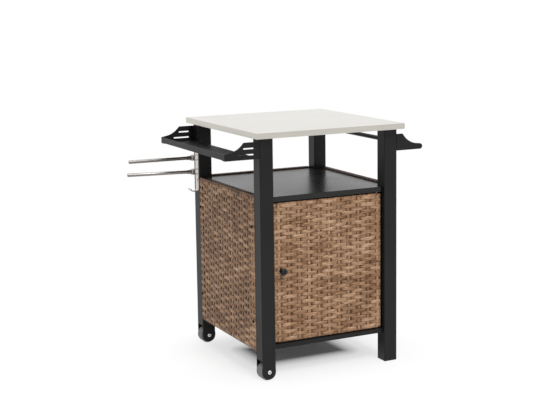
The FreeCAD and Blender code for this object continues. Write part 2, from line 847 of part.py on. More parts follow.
def side_bracket(corners, side_x, side_y, top, bottom, slots):
    """Folded bracket: a shaped plate level with the leg's end face and a flange on its side."""
    sheet = plate(corners, bracket_gauge)
    for slot in slots:
        sheet = sheet.cut(plate(slot, bracket_gauge))
    flange = block((0, bracket_gauge), (0, bracket_flange), (bottom, top))
    for height in bracket_bolt_heights:
        bolt_y = leg_outer_y - abs(bracket_bolt_y(side_y))
        flange = flange.cut(rod(V(0, bolt_y, height), X_AXIS, bolt_radius, bracket_gauge))
    bracket = sheet.fuse(flange).removeSplitter()
    fold = [e for e in edges_along(bracket, Z_AXIS)
            if e.BoundBox.XMax < tolerance and e.BoundBox.YMax < tolerance]
    bracket = bracket.makeFillet(bracket_fold_round, fold)
    return placed_bracket(bracket, side_x, side_y)


def placed_bracket(bracket, side_x, side_y):
    """Bracket built for the right front corner, mirrored to its own corner."""
    placed = bracket.copy()
    placed.translate(V(leg_outer_x, -leg_outer_y, 0))
    if side_x < 0:
        placed = placed.mirror(V(0, 0, 0), X_AXIS)
    if side_y > 0:
        placed = placed.mirror(V(0, 0, 0), Y_AXIS)
    return placed


def slot_outline(start, end, height):
    radius = slot_height / 2
    low = height - radius
    high = height + radius
    almost = radius * nearly_whole
    return [(start, low, almost), (end, low, almost), (end, high, almost), (start, high, almost)]


def tray_bracket(side_y):
    """End plate of the tray, swept down to the lip, with two slots for hooks."""
    corners = [
        (0, tray_bottom, 0),
        (tray_reach, tray_bottom, bracket_gauge),
        (tray_reach, tray_lip_top, bracket_gauge),
        (tray_curve_reach, worktop_bottom - tray_curve_drop, tray_curve_radius),
        (tray_shoulder, tray_bracket_top, bracket_corner),
        (0, tray_bracket_top, 0),
    ]
    slots = [slot_outline(slot_inset, upper_slot_end, worktop_bottom - upper_slot_drop),
             slot_outline(slot_inset, lower_slot_end, worktop_bottom - lower_slot_drop)]
    bracket = side_bracket(corners, -1, side_y, tray_bracket_top, tray_bottom, slots)
    ledge_y = sorted((side_y * (leg_outer_y - bracket_gauge), side_y * (leg_outer_y - bracket_flange)))
    ledge_x = (-leg_outer_x - tray_reach + sheet_gauge + fit_gap, -leg_outer_x - bracket_gauge)
    ledge = block(ledge_x, ledge_y, (tray_bottom, tray_bottom + bracket_gauge))
    return bracket.fuse(ledge).removeSplitter()


def side_tray():
    """Bent sheet: a flat floor from the legs outwards and an upturned outer lip."""
    y = leg_outer_y - bracket_gauge
    floor_low = tray_bottom + bracket_gauge
    inner_x = -leg_outer_x - bracket_gauge - fit_gap
    path = [
        (inner_x, floor_low, 0),
        (-leg_outer_x - tray_reach, floor_low, sheet_gauge),
        (-leg_outer_x - tray_reach, tray_lip_top, 0),
    ]
    tray = bent_strip(path, -sheet_gauge, 2 * y)
    return moved(tray, 0, -y)


def bracket_bolts(side_x):
    bolts = []
    for side_y in (-1, 1):
        for height in bracket_bolt_heights:
            place = V(side_x * (leg_outer_x + bracket_gauge), bracket_bolt_y(side_y), height)
            bolts.append(screw(place, V(side_x, 0, 0), bolt_head_radius, bolt_head_height,
                               bolt_radius, bolt_length))
    return Part.makeCompound(bolts)


def handle_bracket(side_y):
    """Arm of the towel handle, swept out and rounded about the bar."""
    bottom = handle_bar_height - handle_tip_radius
    tip = handle_bar_reach + handle_tip_radius
    almost = handle_tip_radius * nearly_whole
    corners = [
        (0, bottom, 0),
        (tip, bottom, almost),
        (tip, handle_bar_height + handle_tip_radius, almost),
        (handle_curve_reach, worktop_bottom - handle_curve_drop, handle_curve_radius),
        (handle_shoulder, handle_bracket_top, bracket_corner),
        (0, handle_bracket_top, 0),
    ]
    return side_bracket(corners, 1, side_y, handle_bracket_top, bottom, [])


def handle_bar():
    """Tube welded between the two handle brackets."""
    half = leg_outer_y - bracket_gauge
    start = V(leg_outer_x + handle_bar_reach, -half, handle_bar_height)
    bar = rod(start, Y_AXIS, handle_bar_radius, 2 * half)
    return bar.cut(rod(start, Y_AXIS, handle_bar_radius - handle_bar_wall, 2 * half))


def hanger_plate():
    """Strip with a hook bent at its foot and two pairs of tabs for the swivel arms."""
    face = -leg_outer_x
    path = [
        (face, hanger_top, 0),
        (face, hanger_bottom, hanger_bend),
        (face - hanger_hook_reach, hanger_bottom, hanger_bend),
        (face - hanger_hook_reach, hanger_bottom + hanger_hook_rise, 0),
    ]
    strip = moved(bent_strip(path, -hanger_gauge, hanger_width), 0, arm_pivot_y - hanger_width / 2)
    corners = [e for e in edges_along(strip, X_AXIS) if e.BoundBox.ZMin > hanger_top - tolerance]
    strip = strip.makeFillet(bracket_corner, corners)
    for height in arm_heights:
        for low in (height - pivot_gap() / 2 - tab_gauge, height + pivot_gap() / 2):
            strip = strip.fuse(pivot_tab(low))
    for height in hanger_screw_heights:
        start = V(face - hanger_gauge, arm_pivot_y, height)
        strip = strip.cut(rod(start, X_AXIS, small_screw_radius, hanger_gauge))
    return strip.removeSplitter()


def pivot_gap():
    return 2 * collar_radius + 2 * turning_gap


def pivot_tab(low):
    """Tab with a round end about the pivot and a hole for the pin."""
    half = tab_width / 2
    root = -leg_outer_x - hanger_gauge
    tab = block((arm_pivot_x, root), (arm_pivot_y - half, arm_pivot_y + half), (low, low + tab_gauge))
    tab = tab.fuse(rod(V(arm_pivot_x, arm_pivot_y, low), Z_AXIS, half, tab_gauge)).removeSplitter()
    return tab.cut(rod(V(arm_pivot_x, arm_pivot_y, low), Z_AXIS, pivot_pin_radius, tab_gauge))


def pivot_pins():
    """Riveted pins through the tabs."""
    pins = []
    for height in arm_heights:
        reach = pivot_gap() / 2 + tab_gauge
        shank = rod(V(0, 0, -reach), Z_AXIS, pivot_pin_radius, 2 * reach)
        upper = moved(pan_head(pivot_head_radius, pivot_head_height), 0, 0, reach)
        lower = moved(laid_along(pan_head(pivot_head_radius, pivot_head_height), V(0, 0, -1)), 0, 0, -reach)
        pins.append(moved(shank.fuse([upper, lower]).removeSplitter(), arm_pivot_x, arm_pivot_y, height))
    return Part.makeCompound(pins)


def swung(shape, height, angle):
    """Arm piece built along -X from its pivot, swung to its rest angle and put in place."""
    return moved(shape, arm_pivot_x, arm_pivot_y, height, angle)


def arm_collar(height, angle):
    """Root of an arm: an eye on the pin and a socket for the rod."""
    outward = V(-1, 0, 0)
    eye = rod(V(0, 0, -collar_radius), Z_AXIS, pivot_eye_radius, 2 * collar_radius)
    socket = rod(V(-collar_start, 0, 0), outward, collar_radius, collar_length)
    collar = eye.fuse(socket).removeSplitter()
    collar = collar.cut(rod(V(0, 0, -collar_radius), Z_AXIS, pivot_pin_radius + running_clearance,
                            2 * collar_radius))
    end = collar_start + collar_length
    collar = collar.cut(rod(V(-end, 0, 0), X_AXIS, arm_spigot_radius, arm_in_collar))
    return swung(collar, height, angle)


def arm_rod(height, angle):
    """Rod turned down to a spigot where it enters its collar."""
    outward = V(-1, 0, 0)
    collar_end = collar_start + collar_length
    spigot = rod(V(arm_in_collar - collar_end, 0, 0), outward, arm_spigot_radius, arm_in_collar + arm_neck)
    shoulder = collar_end + arm_neck
    bar = rod(V(-shoulder, 0, 0), outward, arm_radius, arm_reach - arm_cap_thickness - shoulder)
    return swung(spigot.fuse(bar).removeSplitter(), height, angle)


def arm_cap(height, angle):
    """Rounded cap that closes the free end of a rod."""
    cap = laid_along(pan_head(arm_radius, arm_cap_thickness), V(-1, 0, 0))
    cap.translate(V(-(arm_reach - arm_cap_thickness), 0, 0))
    return swung(cap, height, angle)


def hanger_screws():
    face = -leg_outer_x - hanger_gauge
    return Part.makeCompound([small_screw(V(face, arm_pivot_y, height), V(-1, 0, 0))
                              for height in hanger_screw_heights])


def build():
    """Every sub-part by name."""
    tabs, panel_bolts = panel_fixings()
    door_frame, door_weave = door_pieces()
    parts = {
        "leg_front_left": forked_leg(-1),
        "leg_back_left": forked_leg(1),
        "leg_front_right": plain_leg(-1),
        "leg_back_right": plain_leg(1),
        "leg_top_plates": leg_top_plates(),
        "foot_cap_front": foot_cap(-1),
        "foot_cap_back": foot_cap(1),
        "wheel_front_tyre": wheel_tyre(-1),
        "wheel_front_hub": wheel_hub(-1),
        "wheel_back_tyre": wheel_tyre(1),
        "wheel_back_hub": wheel_hub(1),
        "axle_bolt_front": axle_bolt(-1),
        "axle_bolt_back": axle_bolt(1),
        "axle_nuts": axle_nuts(),
        "wheel_spacers": wheel_spacers(),
        "worktop_skin": worktop_skin(),
        "worktop_core": worktop_core(),
        "worktop_screws": worktop_screws(),
        "shelf_plate": shelf_plate(),
        "shelf_screws": Part.makeCompound(shelf_screw_shapes(False)),
        "cabinet_floor": floor_plate(),
        "front_rail": front_rail(),
        "back_rail": back_rail(),
        "panel_tabs": tabs,
        "panel_bolts": panel_bolts,
        "door_frame": door_frame,
        "door_weave": door_weave,
        "door_knob": door_knob(),
        "knob_screw": knob_screw(),
        "door_strike_plate": strike_plate(),
        "hinge_pins": hinge_pins(),
        "hinge_bracket": hinge_bracket(),
        "hinge_bushes": hinge_bushes(),
        "magnet_catch": magnet_catch(),
        "side_tray": side_tray(),
        "tray_bracket_front": tray_bracket(-1),
        "tray_bracket_back": tray_bracket(1),
        "tray_bolts": bracket_bolts(-1),
        "handle_bar": handle_bar(),
        "handle_bracket_front": handle_bracket(-1),
        "handle_bracket_back": handle_bracket(1),
        "handle_bolts": bracket_bolts(1),
        "hanger_plate": hanger_plate(),
        "hanger_screws": hanger_screws(),
        "pivot_pins": pivot_pins(),
    }
    for name, (width, turn, x, y) in panel_places.items():
        parts[name + "_frame"], parts[name + "_weave"] = bolted_panel(width, turn, x, y)
    for name, height, angle in zip(("lower_arm", "upper_arm"), arm_heights, arm_angles):
        parts[name + "_rod"] = arm_rod(height, angle)
        parts[name + "_collar"] = arm_collar(height, angle)
        parts[name + "_cap"] = arm_cap(height, angle)
    return parts


def export(parts):
    """Write each sub-part, moved so that the origin is below the middle of the whole cart."""
    os.makedirs("parts", exist_ok=True)
    for name, shape in parts.items():
        placed = shape.copy()
        placed.translate(V(centre_shift, 0, 0))
        placed.exportStep("parts/" + name + ".step")


export(build())
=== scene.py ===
import json
import math

import bpy
import numpy as np
from mathutils import Matrix, Vector


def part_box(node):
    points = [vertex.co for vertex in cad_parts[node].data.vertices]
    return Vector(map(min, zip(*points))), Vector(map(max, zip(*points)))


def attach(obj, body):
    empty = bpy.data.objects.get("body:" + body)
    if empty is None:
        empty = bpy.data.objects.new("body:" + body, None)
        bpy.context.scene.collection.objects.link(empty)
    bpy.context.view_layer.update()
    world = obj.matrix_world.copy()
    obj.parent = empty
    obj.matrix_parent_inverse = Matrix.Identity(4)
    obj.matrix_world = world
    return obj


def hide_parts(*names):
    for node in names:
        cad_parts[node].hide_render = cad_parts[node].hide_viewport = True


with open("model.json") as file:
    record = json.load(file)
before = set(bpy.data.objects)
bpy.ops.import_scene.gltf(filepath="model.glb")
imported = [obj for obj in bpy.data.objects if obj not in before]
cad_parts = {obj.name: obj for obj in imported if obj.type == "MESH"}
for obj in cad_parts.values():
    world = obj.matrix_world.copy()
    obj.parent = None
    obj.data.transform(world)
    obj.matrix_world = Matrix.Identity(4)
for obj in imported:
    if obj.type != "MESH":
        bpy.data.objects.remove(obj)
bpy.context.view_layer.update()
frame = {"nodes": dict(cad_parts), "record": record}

# Grill cart with storage. Metres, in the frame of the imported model: -Y is the door side,
# +X the handle side, +Z up. The woven panels are strand geometry; the rest keeps its solids.

MM = 0.001
random_numbers = np.random.default_rng(7)

# Camera, from the photograph's perspective; its place is in millimetres, with X from the
# middle of the legs
CAMERA_PLACE = (-1983.8, -3891.2, 1321.6)
CAMERA_YAW = math.radians(26.196)
CAMERA_PITCH = math.radians(-8.256)
CAMERA_ROLL = math.radians(-0.791)
CAMERA_FOCAL_PIXELS = 1225.2
CAMERA_RISE_PIXELS = 41.0
IMAGE_WIDTH = 550
SENSOR_WIDTH = 36.0

# Light and floor. The floor keeps the cart's shadow in a box of this half size; round it a
# white glow paints the shadow's fade to white: FLOOR_WHITE holds (metres from the box, share
# of white).
WORLD_LIGHT = 0.46
FLOOR_REACH = 30.0
FLOOR_SHADOW_HALF = (0.145, 0.085, 0.0)
FLOOR_WHITE = ((0.0, 0.015), (0.035, 0.40), (0.075, 0.66), (0.12, 0.69),
               (0.17, 0.75), (0.23, 0.86), (0.32, 1.0))

# Panels: depths are below the outer face. The weave lies flat over the frame tubes, within
# BORDER of the edges, and swings deep between them. It comes back over the rear face by LIP,
# and the rounded corners draw it in within CORNER_ZONE of the sides. A FACING is the outward
# direction's part along depth, below which a point of a band counts as on the front.
WEAVE_DEPTH = 3.9 * MM
FLAT_DEPTH = 2.0 * MM
EDGE_DEPTH = 1.3 * MM
EDGE_ROUND = 6.0 * MM
CORNER_ROUND = 12.0 * MM
CORNER_ZONE = 40.0 * MM
BORDER = 19.0 * MM
BORDER_BLEND = 8.0 * MM
LIP = 17.0 * MM
PANEL_TOP_DROP = 3.0 * MM
FRONT_FACING = -0.999

# Rows: flat bands, over and under the stakes. A row lies deepest within UNDER_HALF of the
# centre of a stake that it runs behind. From there it rises over STEEP_RISE on one side and
# GENTLE_RISE on the other, and the last FLOAT_SWELL of the rise comes halfway to the next such
# stake. Its width is WIDTH_SHARES of the row height at WIDTH_PLACES, from behind a stake (-1)
# to in front (1). It has points at ROW_SAMPLES from those centres, more than SAMPLE_GAP apart,
# and the last ones lie BEND_GAP before the bend round the edge.
ROW_HEIGHT = 12.2 * MM
ROW_THICKNESS = 1.3 * MM
ROW_CROWN = 1.4 * MM
ROW_SWING = 2.6 * MM
ROW_SWING_SHARES = (0.9, 1.0)
FLAT_ROW_SWING = 0.7 * MM
FLOAT_SWELL = 0.15
UNDER_HALF = 3.5 * MM
STEEP_RISE = 6.5 * MM
GENTLE_RISE = 15.0 * MM
WIDTH_PLACES = (-1.0, -0.4, 0.3, 0.85, 1.0)
WIDTH_SHARES = (1.2, 1.12, 1.04, 1.05, 1.1)
ROW_SAMPLES = np.array((0.0, 4.0, 6.0, 8.0, 11.0, 16.0, 26.0)) * MM
SAMPLE_GAP = 1.5 * MM
BEND_GAP = 3.0 * MM

# Stakes: upright bands behind and between the rows
STAKE_WIDTH = 10.5 * MM
STAKE_THICKNESS = 1.3 * MM
STAKE_CROWN = 0.5 * MM
STAKE_SWING = 0.5 * MM
FLAT_STAKE_SWING = 0.7 * MM
STAKE_OVERRUN = 2.0 * MM
DOOR_STAKE_PITCH = 38.7 * MM
DOOR_FIRST_STAKE = 19.0 * MM
PANEL_STAKE_PITCH = 42.3 * MM

# Wraps: short bands over the top and bottom edges
WRAP_CROWN = 0.3 * MM
WRAP_DEPTH = 1.6 * MM
WRAP_GAP = 0.35 * MM
WRAP_REACH = 9.0 * MM
WRAP_MARGIN = 2.0 * MM
WRAP_FACING = -0.5

# Section of a band
RIBS = 3
RIB_STEPS = 3
RIB_SHARE = 0.5
CROWN_RISE = 0.35
BACK_SHARE = 0.96

# Slow waves along the bands: size, and the lengths of their parts in metres
SHARED_ROW_WAVE = (0.35 * MM, (0.19, 0.31))
OWN_ROW_WAVE = (0.2 * MM, (0.07, 0.12))
STAKE_WAVE = (0.5 * MM, (0.17, 0.31))
WAVE_LENGTH_SHARES = (0.8, 1.25)

# Tones are added to a strand's place between its dark (0) and light (1) colour; shades are
# painted shade, from 0 on the surface to 1 deep down, that darkens the strand's colour
STEEP_SHADE = 1.5
GENTLE_SHADE = 0.68
PANEL_GAP_SHADE = 2.2
EDGE_SHADE = 0.6
STAKE_SHADE = 0.1
SHADE_TONES = (0.56, -0.25)
RIB_TONE = 0.05
ROW_TONE = 0.07
FLOAT_TONE = 0.14
STAKE_TONE = (-0.1, 0.22)
WRAP_TONE = (-0.12, 0.06)
STREAK_TONE = 0.32
BLOTCH_TONE = 0.22
REGION_TONE = 0.12
STREAK_SCALE = (45.0, 900.0, 60.0)
BLOTCH_SCALE = (40.0, 60.0, 90.0)
REGION_SCALE = 9.0
STREAK_RUN = 9.0

WEAVE_SHARP_ANGLE = math.radians(70)
CAD_SHARP_ANGLE = math.radians(32)


def legs_centre_x():
    """X of the plane midway between the left and right legs."""
    return (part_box("leg_front_left")[0].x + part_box("leg_front_right")[1].x) / 2


def add_object(name, data):
    made = bpy.data.objects.new(name, data)
    bpy.context.scene.collection.objects.link(made)
    return made


# Node helpers

def blank_material(name, constants):
    """Material with a Principled surface that holds these constants on its sockets."""
    material = bpy.data.materials.new(name)
    material.use_nodes = True
    tree = material.node_tree
    tree.nodes.clear()
    output = tree.nodes.new("ShaderNodeOutputMaterial")
    shader = tree.nodes.new("ShaderNodeBsdfPrincipled")
    tree.links.new(shader.outputs["BSDF"], output.inputs["Surface"])
    for socket, value in constants.items():
        shader.inputs[socket].default_value = value
    return material, tree, shader


def link_surface(tree, shader, colour, normal, roughness=None):
    """Link what varies over a surface to its shader."""
    tree.links.new(colour, shader.inputs["Base Color"])
    tree.links.new(normal, shader.inputs["Normal"])
    if roughness is not None:
        tree.links.new(roughness, shader.inputs["Roughness"])


def add_node(tree, kind, links=None, **values):
    """New node with its settings and socket values, and its inputs linked."""
    made = tree.nodes.new(kind)
    for key, value in values.items():
        if key in made.inputs:
            made.inputs[key].default_value = value
        else:
            setattr(made, key, value)
    for key, source in (links or {}).items():
        tree.links.new(source, made.inputs[key])
    return made


def vector_math(tree, operation, source, operand=None):
    """Vector operation on a source, with a constant operand where it takes one."""
    made = add_node(tree, "ShaderNodeVectorMath", {0: source}, operation=operation)
    if operand is not None:
        made.inputs[1].default_value = operand
    return made.outputs["Value" if operation == "LENGTH" else "Vector"]


def add_all(tree, terms):
    total = terms[0]
    for term in terms[1:]:
        total = add_node(tree, "ShaderNodeMath", {0: total, 1: term}, operation="ADD").outputs[0]
    return total


def noise(tree, place, stretch, detail, scale=1.0):
    """Noise over a place whose axes are stretched first."""
    mapping = add_node(tree, "ShaderNodeMapping", {"Vector": place}, Scale=stretch)
    return add_node(tree, "ShaderNodeTexNoise", {"Vector": mapping.outputs["Vector"]},
                    Scale=scale, Detail=detail).outputs["Fac"]


def object_noise(tree, scale, stretch=(1, 1, 1), detail=2.0):
    """Noise over the object's own coordinates."""
    place = add_node(tree, "ShaderNodeTexCoord").outputs["Object"]
    return noise(tree, place, stretch, detail, scale)


def ramp(tree, factor, stops):
    """Colour ramp through (position, colour) stops."""
    made = add_node(tree, "ShaderNodeValToRGB", {"Fac": factor})
    elements = made.color_ramp.elements
    while len(elements) < len(stops):
        elements.new(0.5)
    for element, (position, colour) in zip(elements, stops):
        element.position = position
        element.color = (*colour, 1)
    return made.outputs["Color"]


def mottled(tree, factor, colour, shares, span=(0.3, 0.7)):
    """A colour that goes from a darker to a lighter share of itself as factor crosses span."""
    shades = [tuple(min(1.0, channel * share) for channel in colour) for share in shares]
    return ramp(tree, factor, list(zip(span, shades)))


def spread(tree, factor, low, high, start=0.0, end=1.0):
    """Factor from start..end mapped to low..high, and held there beyond."""
    made = add_node(tree, "ShaderNodeMapRange", {"Value": factor})
    for key, value in (("From Min", start), ("From Max", end), ("To Min", low), ("To Max", high)):
        made.inputs[key].default_value = value
    return made.outputs["Result"]


def swing_about_zero(tree, noise_value, size):
    """Noise turned into a value that swings between -size and size."""
    return spread(tree, noise_value, -size, size, 0.3, 0.7)


def bump(tree, height, distance, strength):
    return add_node(tree, "ShaderNodeBump", {"Height": height},
                    Distance=distance, Strength=strength).outputs["Normal"]


# Materials

def powder_coat(name, colour, roughness, specular):
    """Baked powder paint: a fine orange-peel grain and slight unevenness of gloss."""
    material, tree, shader = blank_material(name, {"Specular IOR Level": specular})
    broad = object_noise(tree, 6.0)
    fine = object_noise(tree, 1400.0)
    link_surface(tree, shader, mottled(tree, broad, colour, (0.85, 1.2)),
                 bump(tree, fine, 0.12 * MM, 0.5),
                 spread(tree, broad, roughness - 0.05, roughness + 0.06))
    return material


def moulded_plastic(name, colour, roughness, specular=0.5):
    """Plastic with a fine moulded grain."""
    material, tree, shader = blank_material(name, {"Specular IOR Level": specular})
    broad = object_noise(tree, 25.0)
    fine = object_noise(tree, 900.0)
    link_surface(tree, shader, mottled(tree, broad, colour, (0.85, 1.15)),
                 bump(tree, fine, 0.08 * MM, 0.4),
                 spread(tree, fine, roughness - 0.05, roughness + 0.05))
    return material


def brushed_metal(name, colour, roughness, stretch, lines=900.0, contrast=0.1, side_shade=1.0):
    """Metal with fine lines drawn along one axis, and painted shade on its upright faces where
    asked.
    """
    material, tree, shader = blank_material(name, {"Metallic": 1.0})
    brush = object_noise(tree, lines, stretch, detail=4.0)
    broad = object_noise(tree, 5.0)
    direction = add_node(tree, "ShaderNodeTexCoord").outputs["Normal"]
    upward = add_node(tree, "ShaderNodeSeparateXYZ", {"Vector": direction}).outputs["Z"]
    # Painted shade: upright faces are scaled down to side_shade of the colour.
    level = add_node(tree, "ShaderNodeMath", {0: upward}, operation="ABSOLUTE")
    tint = add_node(tree, "ShaderNodeVectorMath", {
        0: mottled(tree, brush, colour, (1 - contrast, 1 + contrast * 0.6), (0.25, 0.75)),
        "Scale": spread(tree, level.outputs[0], side_shade, 1.0)}, operation="SCALE")
    link_surface(tree, shader, tint.outputs["Vector"], bump(tree, brush, 0.03 * MM, 0.4),
                 spread(tree, broad, roughness - 0.04, roughness + 0.06))
    return material


def bolt_steel(name, node, socket_radius):
    """Plated steel for a bolt along Y, with painted shade inside the socket of its head."""
    material, tree, shader = blank_material(name, {"Metallic": 1.0})
    low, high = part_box(node)
    place = add_node(tree, "ShaderNodeTexCoord").outputs["Object"]
    offset = vector_math(tree, "SUBTRACT", place, (low + high) / 2)
    flat = vector_math(tree, "MULTIPLY", offset, (1 / socket_radius, 0, 1 / socket_radius))
    from_axis = vector_math(tree, "LENGTH", flat)
    fine = object_noise(tree, 900.0, detail=3.0)
    # Painted shade: near-black within socket_radius of the bolt's axis.
    link_surface(tree, shader,
                 ramp(tree, from_axis, [(0.8, (0.02, 0.02, 0.02)), (1.0, (0.74, 0.73, 0.71))]),
                 bump(tree, fine, 0.03 * MM, 0.4), spread(tree, fine, 0.22, 0.36))
    return material


def wood_board(name):
    material, tree, shader = blank_material(name, {"Roughness": 0.75})
    grain = object_noise(tree, 300.0, detail=4.0)
    link_surface(tree, shader,
                 ramp(tree, grain, [(0.3, (0.012, 0.011, 0.010)), (0.7, (0.03, 0.027, 0.024))]),
                 bump(tree, grain, 0.2 * MM, 0.5))
    return material


def strand_material(name, dark, middle, light):
    """Resin strand: its own tone, blotches and streaks along it, and painted shade where it is
    deep.
    """
    material, tree, shader = blank_material(name, {"Specular IOR Level": 0.3})
    tone, along, across, depth = (
        add_node(tree, "ShaderNodeAttribute", attribute_name=key).outputs["Fac"]
        for key in ("tone", "along", "across", "depth"))
    place = add_node(tree, "ShaderNodeCombineXYZ", {"X": along, "Y": across, "Z": tone})
    streak = noise(tree, place.outputs["Vector"], STREAK_SCALE, detail=4.0)
    blotch = noise(tree, place.outputs["Vector"], BLOTCH_SCALE, detail=2.0)
    region = object_noise(tree, REGION_SCALE, detail=1.0)
    # The depth attribute is painted shade; SHADE_TONES turn it into a tone that darkens the
    # strand.
    factor = add_all(tree, [spread(tree, depth, *SHADE_TONES), tone,
                            swing_about_zero(tree, streak, STREAK_TONE),
                            swing_about_zero(tree, blotch, BLOTCH_TONE),
                            swing_about_zero(tree, region, REGION_TONE)])
    link_surface(tree, shader, ramp(tree, factor, [(0.0, dark), (0.5, middle), (1.0, light)]),
                 bump(tree, streak, 0.4 * MM, 0.6), spread(tree, streak, 0.42, 0.66))
    return material


LOOKS = {
    "powder_coat": powder_coat("black_powder_coat", (0.0125, 0.0118, 0.0116),
                               roughness=0.42, specular=0.2),
    "shelf_coat": powder_coat("shelf_powder_coat", (0.0115, 0.0112, 0.0105),
                              roughness=0.28, specular=0.32),
    "black_fastener": powder_coat("black_screw", (0.004, 0.004, 0.004),
                                  roughness=0.5, specular=0.1),
    # The worktop's upright faces get painted shade through side_shade.
    "stainless": brushed_metal("worktop_stainless", (0.70, 0.672, 0.615), roughness=0.2,
                               stretch=(0.02, 1, 1), side_shade=0.84),
    # The rods' strong streaks along their length are partly brushing and partly painted
    # reflections.
    "stainless_rod": brushed_metal("rod_stainless", (0.34, 0.32, 0.305), roughness=0.27,
                                   stretch=(0.02, 0.02, 1), lines=330.0, contrast=0.6),
    "stainless_plate": brushed_metal("hanger_stainless", (0.62, 0.59, 0.56), roughness=0.24,
                                     stretch=(1, 1, 0.03), lines=300.0, contrast=0.3),
    "bright_steel": brushed_metal("zinc_plated_steel", (0.70, 0.69, 0.67), roughness=0.28,
                                  stretch=(1, 1, 1)),
    "front_bolt": bolt_steel("front_axle_steel", "axle_bolt_front", socket_radius=2.6 * MM),
    "back_bolt": bolt_steel("back_axle_steel", "axle_bolt_back", socket_radius=2.6 * MM),
    "weave": strand_material("woven_strand", dark=(0.07, 0.026, 0.008),
                             middle=(0.315, 0.170, 0.086), light=(0.64, 0.425, 0.280)),
    "board": wood_board("worktop_board"),
    "wheel_grey": moulded_plastic("wheel_tread", (0.20, 0.20, 0.20), roughness=0.6),
    "hub_plastic": moulded_plastic("wheel_hub", (0.14, 0.14, 0.14), roughness=0.5),
    "black_plastic": moulded_plastic("black_plastic", (0.004, 0.004, 0.004),
                                     roughness=0.15, specular=0.3),
    "nylon": moulded_plastic("nylon_bush", (0.72, 0.71, 0.66), roughness=0.5),
}


# Strand geometry

class Strands:
    """Ribbed bands gathered into one mesh; each point keeps its tone, its place along and
    across its band, and its painted shade (the depth attribute), which darkens it where it lies
    deep."""

    def __init__(self):
        self.points = []
        self.faces = []
        self.attributes = {"tone": [], "along": [], "across": [], "depth": []}
        self.count = 0

    def band(self, centres, normals, across_axis, section, tone, depth, squeeze=1.0):
        """Sweep a (width, thickness, crown) section along centres; normals point outwards."""
        width, _, crown = section
        across, out = band_profile(*section).T
        steps = len(centres)
        size = len(across)
        sideways = across[None, :] * np.broadcast_to(squeeze, steps)[:, None]
        points = (centres[:, None, :] + normals[:, None, :] * out[None, :, None]
                  + np.asarray(across_axis)[None, None, :] * sideways[:, :, None])
        self.points.append(points.reshape(-1, 3))
        self.add_faces(steps, size)

        lengths = np.cumsum(np.linalg.norm(np.diff(centres, axis=0), axis=1))
        lengths = np.concatenate([[0], lengths])
        rib_tones = random_numbers.uniform(-RIB_TONE, RIB_TONE, RIBS)
        rib = np.clip(((across / width + 0.5) * RIBS).astype(int), 0, RIBS - 1)
        tones = np.broadcast_to(tone, steps)[:, None] + rib_tones[rib][None, :]
        # Painted shade also darkens the band's edges, where its crowned front falls away.
        edge = np.clip(-out / crown, 0, 1)
        depths = np.broadcast_to(depth, steps)[:, None] + EDGE_SHADE * edge[None, :]
        streak_start = random_numbers.uniform(0, STREAK_RUN)
        self.attributes["tone"].append(tones.reshape(-1))
        self.attributes["along"].append(np.repeat(lengths + streak_start, size))
        self.attributes["across"].append(np.tile(across, steps))
        self.attributes["depth"].append(np.clip(depths, 0, 1).reshape(-1))

    def add_faces(self, steps, size):
        """Side faces between the steps of a band, and its two ends."""
        base = self.count
        ring = np.arange(size)
        following = (ring + 1) % size
        starts = base + size * np.arange(steps - 1)[:, None]
        quads = np.stack([starts + ring, starts + following,
                          starts + size + following, starts + size + ring], -1)
        self.faces.extend(quads.reshape(-1, 4).tolist())
        self.faces.append((base + ring[::-1]).tolist())
        self.faces.append((base + size * (steps - 1) + ring).tolist())
        self.count += steps * size

    def to_object(self, name, material):
        mesh = bpy.data.meshes.new(name)
        mesh.from_pydata(np.concatenate(self.points).tolist(), [], self.faces)
        for key, parts in self.attributes.items():
            layer = mesh.attributes.new(key, "FLOAT", "POINT")
            layer.data.foreach_set("value", np.concatenate(parts).astype(np.float32))
        mesh.shade_smooth()
        mesh.set_sharp_from_angle(angle=WEAVE_SHARP_ANGLE)
        mesh.materials.append(material)
        return add_object(name, mesh)


def band_profile(width, thickness, crown):
    """Closed (across, out) section: rounded ribs on a crowned front, and a plain back."""
    front = []
    for step in range(RIB_STEPS * RIBS + 1):
        place = step / (RIB_STEPS * RIBS)
        groove = RIB_SHARE * (1 - math.sin(math.pi * (step % RIB_STEPS) / RIB_STEPS))
        front.append((width * (place - 0.5), thickness / 2 * (1 - groove)
                      + crown * (CROWN_RISE - (2 * place - 1) ** 2)))
    back = [(across * BACK_SHARE, crown * (CROWN_RISE - (2 * across / width) ** 2) - thickness / 2)
            for across, _ in front[::RIB_STEPS]]
    return np.array(front[::-1] + back)


def corner_inset(offset):
    """How far a rounded corner draws the edge in, at an offset from the corner's end."""
    within = np.clip(CORNER_ROUND - offset, 0.0, CORNER_ROUND)
    return CORNER_ROUND - np.sqrt(CORNER_ROUND ** 2 - within ** 2)


def arc(centre, radius, start, end, steps=5):
    """Points and outward directions round a corner, in the section plane, angles in degrees."""
    angles = np.radians(np.linspace(start, end, steps))
    directions = np.stack([np.cos(angles), np.sin(angles)], 1)
    return np.asarray(centre) + directions * radius, directions


